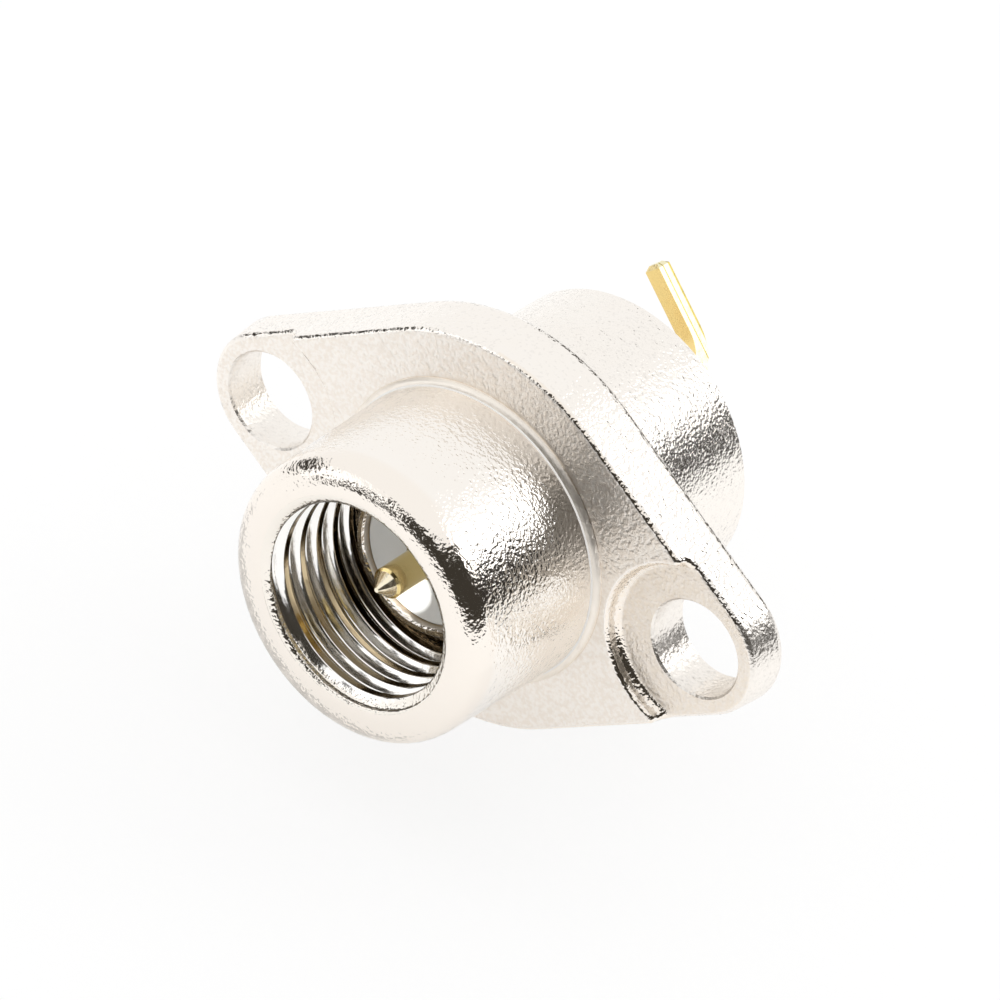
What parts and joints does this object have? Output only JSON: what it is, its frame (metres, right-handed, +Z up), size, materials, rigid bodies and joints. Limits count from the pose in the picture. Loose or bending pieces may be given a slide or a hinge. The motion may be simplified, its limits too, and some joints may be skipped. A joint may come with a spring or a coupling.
{
  "type": "sma connector",
  "caption": "Coaxial plug on a rhombic screw flange: a threaded socket round a centre pin in front, a plain round boss and a bent solder tail behind.",
  "frame": {"origin": "on the connector's axis in the plane of the mounting face, the flange's back, midway between the screw holes", "axes": "-Y is the mating direction, out of the threaded mouth; +Y runs back through the panel; X runs through both screw holes; +Z is up"},
  "size_m": [0.0192, 0.0161, 0.0122],
  "materials": {
    "nickel_plate": "satin nickel over a fine cast surface",
    "white_insulator": "matt turned plastic",
    "gold_plate": "gold plate on turned brass"
  },
  "bodies": {
    "root": {"body": "nickel_plate", "insulator": "white_insulator", "centre_contact": "gold_plate"}
  },
  "joints": []
}
